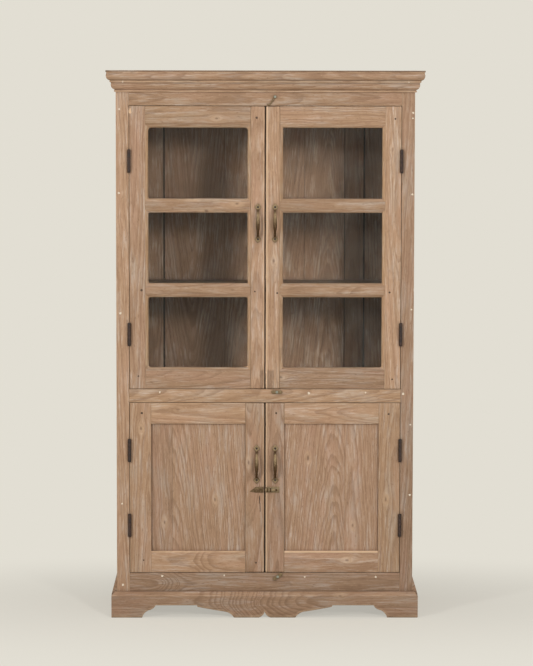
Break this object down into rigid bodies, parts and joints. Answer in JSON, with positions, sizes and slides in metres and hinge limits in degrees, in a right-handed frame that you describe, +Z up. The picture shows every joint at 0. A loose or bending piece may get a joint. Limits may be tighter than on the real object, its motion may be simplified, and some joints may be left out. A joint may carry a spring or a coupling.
{
  "type": "glazed almirah",
  "caption": "Tall free-standing teak cupboard with glazed doors over panelled doors, moulded cornice, scalloped plinth, hinged doors, pulls, slide bolt and turn buttons.",
  "frame": {"origin": "centre of the overall box, on the floor", "axes": "+Z up, -Y out of the doors' front, +X to the viewer's right"},
  "size_m": [1.04, 0.452, 1.8],
  "materials": {
    "teak": "weathered, waxed",
    "glass": "clear, a little dusty",
    "iron": "dark, worn",
    "brass": "aged"
  },
  "bodies": {
    "carcass": {"back_boards": "teak", "bottom_deck": "teak", "bottom_front_rail": "teak", "cornice_front": "teak", "cornice_returns": "teak", "cupboard_shelf": "teak", "front_left_post": "teak", "front_right_post": "teak", "hinge_pins": "iron", "hinge_post_leaves": "iron", "latch_screws": "brass", "lower_display_shelf": "teak", "middle_front_rail": "teak", "plinth_front": "teak", "plinth_returns": "teak", "rear_left_post": "teak", "rear_rails": "teak", "rear_right_post": "teak", "shelf_bearers": "teak", "side_panels": "teak", "side_rails": "teak", "top_board": "teak", "top_front_rail": "teak", "upper_display_shelf": "teak", "waist_deck": "teak"},
    "upper_left_door": {"upper_left_beads": "teak", "upper_left_hinge_leaves": "iron", "upper_left_hinge_stile": "teak", "upper_left_meeting_stile": "teak", "upper_left_panes": "glass", "upper_left_pull": "brass", "upper_left_rails": "teak"},
    "upper_right_door": {"upper_right_beads": "teak", "upper_right_hinge_leaves": "iron", "upper_right_hinge_stile": "teak", "upper_right_meeting_stile": "teak", "upper_right_panes": "glass", "upper_right_pull": "brass", "upper_right_rails": "teak"},
    "lower_left_door": {"bolt_keeper": "brass", "lower_left_hinge_leaves": "iron", "lower_left_hinge_stile": "teak", "lower_left_meeting_stile": "teak", "lower_left_panel": "teak", "lower_left_pull": "brass", "lower_left_rails": "teak"},
    "lower_right_door": {"bolt_plate": "brass", "lower_right_hinge_leaves": "iron", "lower_right_hinge_stile": "teak", "lower_right_meeting_stile": "teak", "lower_right_panel": "teak", "lower_right_pull": "brass", "lower_right_rails": "teak"},
    "slide_bolt": {"slide_bolt": "brass"},
    "top_hook": {"top_hook": "brass"},
    "waist_button": {"waist_button": "brass"},
    "bottom_button": {"bottom_button": "brass"}
  },
  "joints": [
    {"name": "upper_left_door_swing", "type": "hinge", "parent": "carcass", "child": "upper_left_door", "pos_m": [-0.44525, -0.1995, 0], "axis": [0, 0, -1], "range_deg": [0, 165]},
    {"name": "upper_right_door_swing", "type": "hinge", "parent": "carcass", "child": "upper_right_door", "pos_m": [0.44525, -0.1995, 0], "axis": [0, 0, 1], "range_deg": [0, 165]},
    {"name": "lower_left_door_swing", "type": "hinge", "parent": "carcass", "child": "lower_left_door", "pos_m": [-0.44525, -0.1995, 0], "axis": [0, 0, -1], "range_deg": [0, 165]},
    {"name": "lower_right_door_swing", "type": "hinge", "parent": "carcass", "child": "lower_right_door", "pos_m": [0.44525, -0.1995, 0], "axis": [0, 0, 1], "range_deg": [0, 165]},
    {"name": "bolt_slide", "type": "slide", "parent": "lower_right_door", "child": "slide_bolt", "axis": [-1, 0, 0], "range_m": [0, 0.013]},
    {"name": "top_hook_turn", "type": "hinge", "parent": "carcass", "child": "top_hook", "pos_m": [0.031, -0.194, 1.715], "axis": [0, 1, 0], "range_deg": [-33, 57]},
    {"name": "waist_button_turn", "type": "hinge", "parent": "carcass", "child": "waist_button", "pos_m": [0.039, -0.194, 0.748], "axis": [0, 1, 0], "range_deg": [-90, 90]},
    {"name": "bottom_button_turn", "type": "hinge", "parent": "carcass", "child": "bottom_button", "pos_m": [0.043, -0.194, 0.1345], "axis": [0, 1, 0], "range_deg": [-56, 124]}
  ]
}
